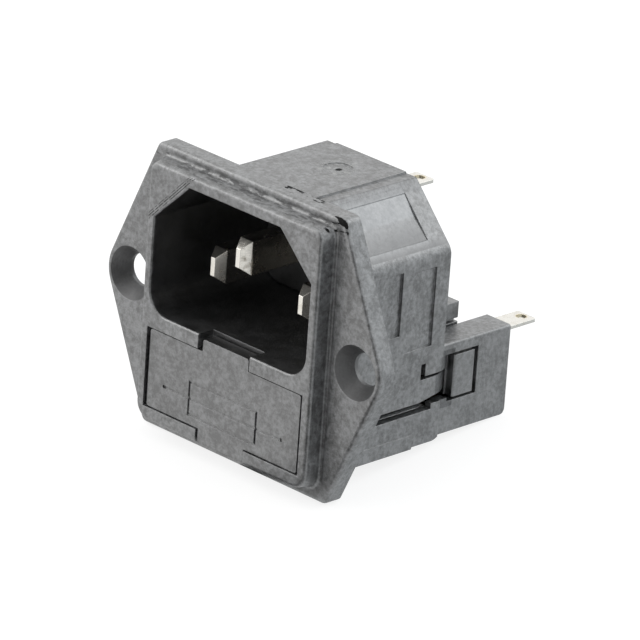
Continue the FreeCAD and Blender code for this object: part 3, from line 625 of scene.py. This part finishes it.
def edge_nicks(plastic, at):
    """Dark nicks along the flange's upper rear edge and at its right corner."""
    tree = plastic.tree
    dashes = noise(tree, stretched(tree, at.point, 0.35, 1.0, 1.0), 1700.0, 2.0, 0.5)
    dashed = above(tree, dashes, 0.575, 0.012)
    edge = both(
        tree,
        dashed,
        above(tree, at.z, 0.0164),
        above(tree, at.y, -0.0013, 0.0001),
        *between(tree, at.x, NICKED_X, WIDE),
    )
    corner = both(
        tree,
        dashed,
        above(tree, at.z, 0.0152),
        below(tree, at.y, -0.002),
        above(tree, at.x, CORNER_NICKS_X, WIDE),
    )
    nicked = larger(tree, edge, corner)
    plastic.paint(nicked, NEAR_BLACK, 0.8)
    plastic.hollow_and_shade(nicked, 0.9)
    plastic.raise_by(both(tree, nicked, -4.0))


def on_frame_depth(tree, y):
    """The two masks of the raised frame's depth, a little behind its front face."""
    behind = above(tree, y, FRONT_Y + 0.0003, 0.0001)
    return below(tree, y, FRONT_Y + FRAME_DEPTH), behind


def frame_groove_shade(plastic, at):
    """Painted shade in the crease over the frame, broken into rough, darker streaks."""
    tree = plastic.tree
    along = noise(tree, stretched(tree, at.point, 0.35, 1.0, 1.0), 1500.0, 4.0, 0.6)
    groove = both(
        tree,
        above(tree, along, 0.55, 0.05),
        above(tree, at.z, GROOVE_Z[0], 0.00008),
        below(tree, at.z, GROOVE_Z[1], 0.0002),
        *on_frame_depth(tree, at.y),
    )
    # Painted shade in the crease where the raised frame meets the flange.
    plastic.paint(times(tree, groove, 0.75), (0.003, 0.003, 0.004, 1.0), 0.8)
    plastic.raise_by(both(tree, groove, -0.6))
    plastic.hollow_and_shade(groove, 0.35)


def flash_lines(plastic, at):
    """Flash lines beside the socket's upper left corner."""
    tree = plastic.tree
    corner = minus(tree, at.z, at.x)
    ripple = math_node(tree, "SINE", times(tree, corner, FLASH_TURNS))
    chafed = noise(tree, at.point, 1100.0, 3.0, 0.6)
    flash = both(
        tree,
        above(tree, ripple, 0.35, 0.25),
        above(tree, chafed, 0.46, 0.05),
        below(tree, at.y, FRONT_Y + 0.0002),
        above(tree, corner, FLASH_BAND[0], 0.00008),
        below(tree, corner, FLASH_BAND[1], 0.0002),
        above(tree, at.z, 0.0086, WIDE),
    )
    plastic.paint(times(tree, flash, 0.85), (0.004, 0.004, 0.004, 1.0), 0.7)
    plastic.hollow_and_shade(flash, 0.75)


def painted_hollow_shade(plastic, at):
    """Painted shade on the frame's side wall, which faces the dark end of the room, and in the
    windows.
    """
    tree = plastic.tree
    frame_wall_shade = both(
        tree,
        above(tree, at.wide, FRAME_WALL_X[0], 0.00008),
        below(tree, at.wide, FRAME_WALL_X[1], 0.0002),
        *on_frame_depth(tree, at.y),
        *between(tree, at.z, (-FRAME_WALL_Z, FRAME_WALL_Z), 0.0006),
    )
    plastic.hollow_and_shade(frame_wall_shade, 0.5)
    window_shade = both(
        tree,
        below(tree, at.wide, WINDOW_X[1], 0.00005),
        above(tree, at.wide, WINDOW_X[0]),
        above(tree, at.y, WINDOW_Y[0], WIDE),
        below(tree, at.y, WINDOW_Y[1]),
        *between(tree, at.z, WINDOW_Z),
    )
    plastic.hollow_and_shade(window_shade, 0.6)


def body_sides(plastic, at):
    """Upright drag marks on the body's sides, and the pale seam under its rear end."""
    tree = plastic.tree
    drag = noise(tree, stretched(tree, at.point, 1.0, 1.0, 0.1), 1300.0, 3.0, 0.65)
    flank = both(
        tree,
        above(tree, at.wide, BODY_SIDE_X),
        above(tree, at.y, 0.00005),
        above(tree, drag, 0.52, 0.06),
    )
    plastic.paint(times(tree, flank, 0.3), grey(0.075))
    plastic.raise_by(both(tree, flank, 0.6))
    from_end = math_node(tree, "ABSOLUTE", minus(tree, at.y, BODY_END_Y))
    seam = both(
        tree,
        below(tree, from_end, 0.00008),
        below(tree, at.z, SEAM_TOP_Z),
        above(tree, at.wide, SEAM_X),
    )
    plastic.paint(times(tree, seam, 0.35), (0.2, 0.205, 0.21, 1.0))


def housing_plastic(look):
    """The housing's plastic, with its smooth panels, turned countersinks and moulding marks, and
    painted shade in its hollows.
    """
    plastic = Plastic("housing_plastic", look)
    at = HousingPoint(plastic.tree)
    shoulder_panels(plastic, at, look)
    turned_countersinks(plastic, at, look)
    for mark in (gate_mark, edge_nicks, frame_groove_shade, flash_lines, painted_hollow_shade, body_sides):
        mark(plastic, at)
    return plastic.finish()


def plated_metal(name, colour, stain, roughness, edge_round, streaks=0.000002, bare_places=()):
    """Plated sheet metal with streaks and blotches, worn through at the bare places."""
    material, tree, shader = new_material(name)
    rolled = effect(tree, "Rolled plating", rolled_group)
    edge = effect(tree, "Rubbed edge and highlight", edge_wear_and_highlight_group, Width=0.00012, Breakup_per_metre=2400.0)
    base = mix_colour(tree, rolled.outputs["Blotch"], list(colour) + [1.0], list(stain) + [1.0])
    bright = [min(1.0, c * 1.12) for c in colour] + [1.0]
    # Partly rubbed wear, partly painted highlight: the metal's edges are brightened.
    base = mix_colour(tree, edge.outputs["Mask"], base, bright)
    ragged = noise(tree, part_position(tree), 1600.0, 3.0, 0.6)
    for place in bare_places:
        reach = radius_from(tree, part_position(tree), place, (1.0, 1.0, 0.3))
        reach = plus(tree, reach, times(tree, ragged, 0.0004))
        bare = below(tree, reach, 0.00092, 0.00008)
        base = mix_colour(tree, times(tree, bare, 0.5), base, (0.62, 0.5, 0.25, 1.0))
    feed(tree, shader.inputs["Base Color"], base)
    shader.inputs["Metallic"].default_value = 1.0
    shifted = times(tree, rolled.outputs["Roughness shift"], 0.05)
    dulled = times(tree, rolled.outputs["Blotch"], 0.12)
    shifted = plus(tree, shifted, dulled)
    dull = math_node(tree, "ADD", shifted, roughness, clamp=True)
    feed(tree, shader.inputs["Roughness"], dull)
    edge_normal = round_edges(tree, edge_round)
    raise_surface(tree, shader, rolled.outputs["Height"], streaks, edge_normal)
    return material


def fuse_tube_glass(name, look):
    """Clear glass with slight waviness and a trace of dust."""
    material, tree, shader = new_material(name)
    dust = effect(tree, "Settled dust", dust_group, Cover=look.dust)
    tint = list(look.colour) + [1.0]
    haze = times(tree, dust.outputs["Film"], 0.2)
    feed(tree, shader.inputs["Base Color"], mix_colour(tree, haze, tint, (0.8, 0.8, 0.8, 1.0)))
    shader.inputs["Transmission Weight"].default_value = 1.0
    shader.inputs["IOR"].default_value = look.index
    ripple = noise(tree, stretched(tree, part_position(tree), 0.2, 1.0, 1.0), 500.0, 2.0, 0.5)
    feed(tree, shader.inputs["Roughness"], remap(tree, ripple, 0.3, 0.7, 0.01, 0.06))
    raise_surface(tree, shader, ripple, GLASS_WAVE_DEPTH)
    return material


def wear(node, material):
    """Gives a node of the part its finish."""
    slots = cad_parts[node].data.materials
    slots.clear()
    slots.append(material)


# ---------------------------------------------------------------- settings


def length(name, description, default):
    return bpy.props.FloatProperty(
        name=name, description=description, default=default, min=0.0, precision=6, unit="LENGTH"
    )


def number(name, description, default, high=10.0):
    return bpy.props.FloatProperty(
        name=name, description=description, default=default, min=0.0, max=high
    )


def colour(name, description, default):
    return bpy.props.FloatVectorProperty(
        name=name, description=description, default=default, size=3,
        min=0.0, max=1.0, subtype="COLOR",
    )


def angle(name, description, degrees):
    return bpy.props.FloatProperty(
        name=name, description=description, default=math.radians(degrees), subtype="ANGLE"
    )


class InletPlasticLook(bpy.types.PropertyGroup):
    colour: colour("Plastic", "Colour of the moulded plastic", (0.034, 0.035, 0.0365))
    roughness: number("Roughness", "How matt the plastic is", 0.42, 1.0)
    index: number("Index", "Refractive index of the plastic's skin", 1.95, 3.0)
    gloss_level: number("Gloss level", "Strength of the skin's reflection", 1.0, 1.0)
    grains_per_metre: number("Grains per metre", "How fine the mould texture is", 1900.0, 50000.0)
    grain_depth: length("Grain depth", "Height of the mould texture", 0.00003)
    edge_round: length("Edge rounding", "Radius that sharp edges seem to have", 0.00013)
    edge_width: length("Edge wear width", "Width of the rubbed band along edges", 0.00025)
    # Strength of the edges' rubbed wear and painted highlight.
    edge_wear_and_highlight: number("Edge wear", "How strongly edges are rubbed", 0.5, 1.0)
    dust: number("Dust", "How much dust lies on it", 0.5, 1.0)
    scuffs: number("Scuffs", "How strongly it is scuffed", 0.25, 1.0)


class InletMetalLook(bpy.types.PropertyGroup):
    nickel: colour("Nickel", "Colour of the plated pins and fuse caps", (0.82, 0.79, 0.73))
    nickel_stain: colour("Nickel stain", "Darker blotches of the nickel", (0.56, 0.52, 0.45))
    tin: colour("Tin", "Colour of the tinned solder tags", (0.66, 0.645, 0.605))
    tin_stain: colour("Tin stain", "Duller blotches of the tin", (0.56, 0.535, 0.48))
    bronze: colour("Bronze", "Colour of the contact springs", (0.6, 0.38, 0.2))
    bronze_stain: colour("Bronze stain", "Tarnish of the contact springs", (0.34, 0.2, 0.11))
    wire: colour("Fuse wire", "Colour of the fuse wires", (0.66, 0.66, 0.64))
    roughness: number("Roughness", "How matt the plating is", 0.2, 1.0)
    edge_round: length("Edge rounding", "Radius that stamped edges seem to have", 0.00008)


class InletGlassLook(bpy.types.PropertyGroup):
    colour: colour("Glass", "Tint of the fuse tubes", (0.96, 0.98, 0.97))
    index: number("Index", "Refractive index of the glass", 1.5, 3.0)
    dust: number("Dust", "How much dust lies on it", 0.3, 1.0)


class InletStage(bpy.types.PropertyGroup):
    camera_place: bpy.props.FloatVectorProperty(
        name="Camera place", description="Where the camera stands", size=3,
        default=(0.5037, -0.5095, 0.2852), subtype="TRANSLATION", unit="LENGTH",
    )
    camera_turn: angle("Camera turn", "Angle of the view round the part", 44.107)
    camera_height: angle("Camera height", "Angle of the view above the part", 21.687)
    camera_roll: angle("Camera roll", "Roll of the camera", 4.069)
    lens: bpy.props.FloatProperty(
        name="Lens", description="Focal length of the camera, in millimetres",
        default=391.33, min=1.0,
    )
    floor_size: length("Floor size", "Width of the floor", 6.0)
    sky: number("Sky", "Strength of the white surroundings", 1.27)
    key: number("Rear light", "Strength of the rear lamp, in watts", 1.0, 1000.0)
    fill: number("Left light", "Strength of the left lamp, in watts", 1.0, 1000.0)


# ---------------------------------------------------------------- stage


def resting_plane():
    """A point and the slope of the plane under the flange's lower edge and the block's rear."""
    points = [v.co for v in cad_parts["main_housing"].data.vertices]
    low = min(p.z for p in points)
    front = max(p.y for p in points if p.z < low + 0.02 * MM)
    slope = min((p.z - low) / (p.y - front) for p in points if p.y > front + 20 * MM)
    return Vector((0.0, front, low)), math.atan(slope)


def choose(tree, factor, first, second):
    """Shows the second shader where the factor is 1, and the first elsewhere."""
    choice = tree.nodes.new("ShaderNodeMixShader")
    link(tree, factor, choice.inputs[0])
    link(tree, first, choice.inputs[1])
    link(tree, second, choice.inputs[2])
    return choice.outputs[0]


def plain_sight(tree, path):
    """What the camera sees directly or through glass."""
    return larger(tree, path["Is Camera Ray"], path["Is Transmission Ray"])


def diffuse(tree, level):
    shader = tree.nodes.new("ShaderNodeBsdfDiffuse")
    shader.inputs["Color"].default_value = (level, level, level, 1.0)
    return shader.outputs[0]


def room_light(tree, stage, direction):
    """The room's brightness group, turned to the camera."""
    room = effect(tree, "Room brightness", room_group, Gap_turn=stage.camera_turn)
    link(tree, tree.nodes.new("ShaderNodeTexCoord").outputs[direction], room.inputs["Direction"])
    return room


def floor_material(stage):
    """White floor that lights like paper and shows white, with the part's own shadow kept."""
    material = bpy.data.materials.new("white_floor")
    tree = empty_tree(material)
    path = tree.nodes.new("ShaderNodeLightPath").outputs
    facing = tree.nodes.new("ShaderNodeNewGeometry").outputs

    glow = tree.nodes.new("ShaderNodeEmission")
    glow.inputs["Strength"].default_value = FLOOR_GLOW
    seen = tree.nodes.new("ShaderNodeAddShader")
    link(tree, diffuse(tree, SEEN_PAPER), seen.inputs[0])
    link(tree, glow.outputs[0], seen.inputs[1])

    room = room_light(tree, stage, "Object")
    mirrored = tree.nodes.new("ShaderNodeEmission")
    link(tree, room.outputs["Brightness"], mirrored.inputs["Strength"])
    link(tree, room.outputs["Colour"], mirrored.inputs["Color"])

    shown = choose(tree, plain_sight(tree, path), diffuse(tree, PAPER), seen.outputs[0])
    shown = choose(tree, path["Is Glossy Ray"], shown, mirrored.outputs[0])
    clear = tree.nodes.new("ShaderNodeBsdfTransparent")
    underneath = times(tree, facing["Backfacing"], path["Is Camera Ray"])
    output = tree.nodes.new("ShaderNodeOutputMaterial")
    link(tree, choose(tree, underneath, shown, clear.outputs[0]), output.inputs["Surface"])
    return material


def make_world(stage):
    """White room: plain white to the eye, with a dark gap in what the part reflects."""
    world = bpy.data.worlds.new("white_room")
    bpy.context.scene.world = world
    tree = empty_tree(world)
    path = tree.nodes.new("ShaderNodeLightPath").outputs
    room = room_light(tree, stage, "Generated")
    room.inputs["Rear dimming"].default_value = 0.0
    lit = tree.nodes.new("ShaderNodeBackground")
    link(tree, room.outputs["Colour"], lit.inputs["Color"])
    link(tree, times(tree, room.outputs["Brightness"], stage.sky), lit.inputs["Strength"])
    white = tree.nodes.new("ShaderNodeBackground")
    white.inputs["Color"].default_value = (1.0, 1.0, 1.0, 1.0)
    output = tree.nodes.new("ShaderNodeOutputWorld")
    shown = choose(tree, plain_sight(tree, path), lit.outputs[0], white.outputs[0])
    link(tree, shown, output.inputs["Surface"])


def lamp(name, place, size, watts):
    """Round lamp that points at the part."""
    data = bpy.data.lights.new(name, "AREA")
    data.shape = "DISK"
    data.size = size
    data.energy = watts
    thing = bpy.data.objects.new(name, data)
    thing.location = place
    thing.rotation_mode = "QUATERNION"
    thing.rotation_quaternion = (-Vector(place)).to_track_quat("-Z", "Y")
    bpy.context.scene.collection.objects.link(thing)


def make_camera(stage):
    """The camera, at the place and angles of the stage's settings."""
    data = bpy.data.cameras.new("view")
    data.sensor_width = 36.0
    data.lens = stage.lens
    data.clip_start = 0.01
    data.clip_end = 50.0
    camera = bpy.data.objects.new("view", data)
    down = math.radians(90) - stage.camera_height
    turn = Euler((down, 0.0, stage.camera_turn), "XYZ").to_matrix()
    camera.matrix_world = (
        Matrix.Translation(stage.camera_place)
        @ turn.to_4x4()
        @ Matrix.Rotation(stage.camera_roll, 4, "Z")
    )
    bpy.context.scene.collection.objects.link(camera)
    bpy.context.scene.camera = camera


# ---------------------------------------------------------------- operators


class InletHousing(bpy.types.Operator):
    """Finish the moulded housing with its flange, socket and fuse block"""

    bl_idname = "inlet.housing"
    bl_label = "Housing"

    def execute(self, context):
        look = context.scene.inlet_plastic
        wear("main_housing", housing_plastic(look))
        return {"FINISHED"}


class InletCarrier(bpy.types.Operator):
    """Finish the contact carrier at the rear"""

    bl_idname = "inlet.carrier"
    bl_label = "Contact Carrier"

    def execute(self, context):
        look = context.scene.inlet_plastic
        plastic = Plastic("carrier_plastic", look, grain=0.6, tone=0.85, rough=-0.04)
        wear("contact_carrier", plastic.finish())
        return {"FINISHED"}


class InletDrawer(bpy.types.Operator):
    """Finish the fuse drawer"""

    bl_idname = "inlet.drawer"
    bl_label = "Fuse Drawer"

    def execute(self, context):
        look = context.scene.inlet_plastic
        wear("fuse_drawer", drawer_plastic(look))
        return {"FINISHED"}


class InletPins(bpy.types.Operator):
    """Finish the three contact pins"""

    bl_idname = "inlet.pins"
    bl_label = "Contact Pins"

    def execute(self, context):
        look = context.scene.inlet_metal
        material = plated_metal(
            "pin_nickel", look.nickel, look.nickel_stain, look.roughness, look.edge_round,
            streaks=PIN_STREAKS,
        )
        for node in ("live_pin", "neutral_pin", "earth_pin"):
            wear(node, material)
        return {"FINISHED"}


class InletTerminals(bpy.types.Operator):
    """Finish the tinned terminals and the link to the fuse"""

    bl_idname = "inlet.terminals"
    bl_label = "Terminals"

    def execute(self, context):
        look = context.scene.inlet_metal
        material = plated_metal(
            "terminal_tin", look.tin, look.tin_stain, look.roughness, look.edge_round,
            bare_places=WIRE_HOLES,
        )
        for node in ("earth_terminal", "neutral_terminal", "output_terminal", "live_link"):
            wear(node, material)
        return {"FINISHED"}


class InletSprings(bpy.types.Operator):
    """Finish the bronze contact springs"""

    bl_idname = "inlet.springs"
    bl_label = "Contact Springs"

    def execute(self, context):
        look = context.scene.inlet_metal
        material = plated_metal(
            "spring_bronze", look.bronze, look.bronze_stain, look.roughness, look.edge_round
        )
        for node in ("live_contact_spring", "output_contact_spring"):
            wear(node, material)
        return {"FINISHED"}


class InletFuses(bpy.types.Operator):
    """Finish the two glass fuses"""

    bl_idname = "inlet.fuses"
    bl_label = "Fuses"

    def execute(self, context):
        look = context.scene.inlet_metal
        cap = plated_metal(
            "fuse_cap_nickel", look.nickel, look.nickel_stain, look.roughness, look.edge_round
        )
        wire = plated_metal("fuse_wire_metal", look.wire, look.nickel_stain, 0.35, look.edge_round)
        glass = fuse_tube_glass("fuse_glass", context.scene.inlet_glass)
        for fuse in ("active", "spare"):
            wear(fuse + "_fuse_tube", glass)
            wear(fuse + "_fuse_cap_left", cap)
            wear(fuse + "_fuse_cap_right", cap)
            wear(fuse + "_fuse_wire", wire)
        return {"FINISHED"}


class InletMakeStage(bpy.types.Operator):
    """Lay the floor, light it and set the camera"""

    bl_idname = "inlet.stage"
    bl_label = "Stage"

    def execute(self, context):
        stage = context.scene.inlet_stage
        foot, slope = resting_plane()
        mesh = bpy.data.meshes.new("floor")
        half = stage.floor_size / 2
        corners = ((-half, -half), (half, -half), (half, half), (-half, half))
        build = bmesh.new()
        build.faces.new([build.verts.new((x, y, 0.0)) for x, y in corners])
        build.to_mesh(mesh)
        build.free()
        floor = bpy.data.objects.new("floor", mesh)
        floor.location = foot
        floor.rotation_euler = (slope, 0.0, 0.0)
        context.scene.collection.objects.link(floor)
        mesh.materials.append(floor_material(stage))
        make_world(stage)
        lamp("rear_light", REAR_LIGHT_PLACE, REAR_LIGHT_SIZE, stage.key)
        lamp("left_light", LEFT_LIGHT_PLACE, LEFT_LIGHT_SIZE, stage.fill)
        make_camera(stage)
        context.scene.view_settings.view_transform = "Standard"
        return {"FINISHED"}


class InletPanel(bpy.types.Panel):
    bl_idname = "VIEW3D_PT_inlet"
    bl_label = "Panel Inlet"
    bl_space_type = "VIEW_3D"
    bl_region_type = "UI"
    bl_category = "Panel Inlet"

    def draw(self, context):
        for step in STEPS:
            self.layout.operator(step.bl_idname)
        for name in SETTINGS:
            group = getattr(context.scene, name)
            box = self.layout.box()
            for key in group.bl_rna.properties.keys():
                if key not in ("rna_type", "name"):
                    box.prop(group, key)


STEPS = (
    InletHousing,
    InletCarrier,
    InletDrawer,
    InletPins,
    InletTerminals,
    InletSprings,
    InletFuses,
    InletMakeStage,
)
SETTINGS = {
    "inlet_plastic": InletPlasticLook,
    "inlet_metal": InletMetalLook,
    "inlet_glass": InletGlassLook,
    "inlet_stage": InletStage,
}


def register():
    for group in SETTINGS.values():
        bpy.utils.register_class(group)
    for step in STEPS:
        bpy.utils.register_class(step)
    bpy.utils.register_class(InletPanel)
    for name, group in SETTINGS.items():
        setattr(bpy.types.Scene, name, bpy.props.PointerProperty(type=group))


def unregister():
    for name in SETTINGS:
        delattr(bpy.types.Scene, name)
    bpy.utils.unregister_class(InletPanel)
    for step in reversed(STEPS):
        bpy.utils.unregister_class(step)
    for group in SETTINGS.values():
        bpy.utils.unregister_class(group)


def main():
    register()
    for step in STEPS:
        area, action = step.bl_idname.split(".")
        getattr(getattr(bpy.ops, area), action)()


if __name__ == "__main__":
    main()
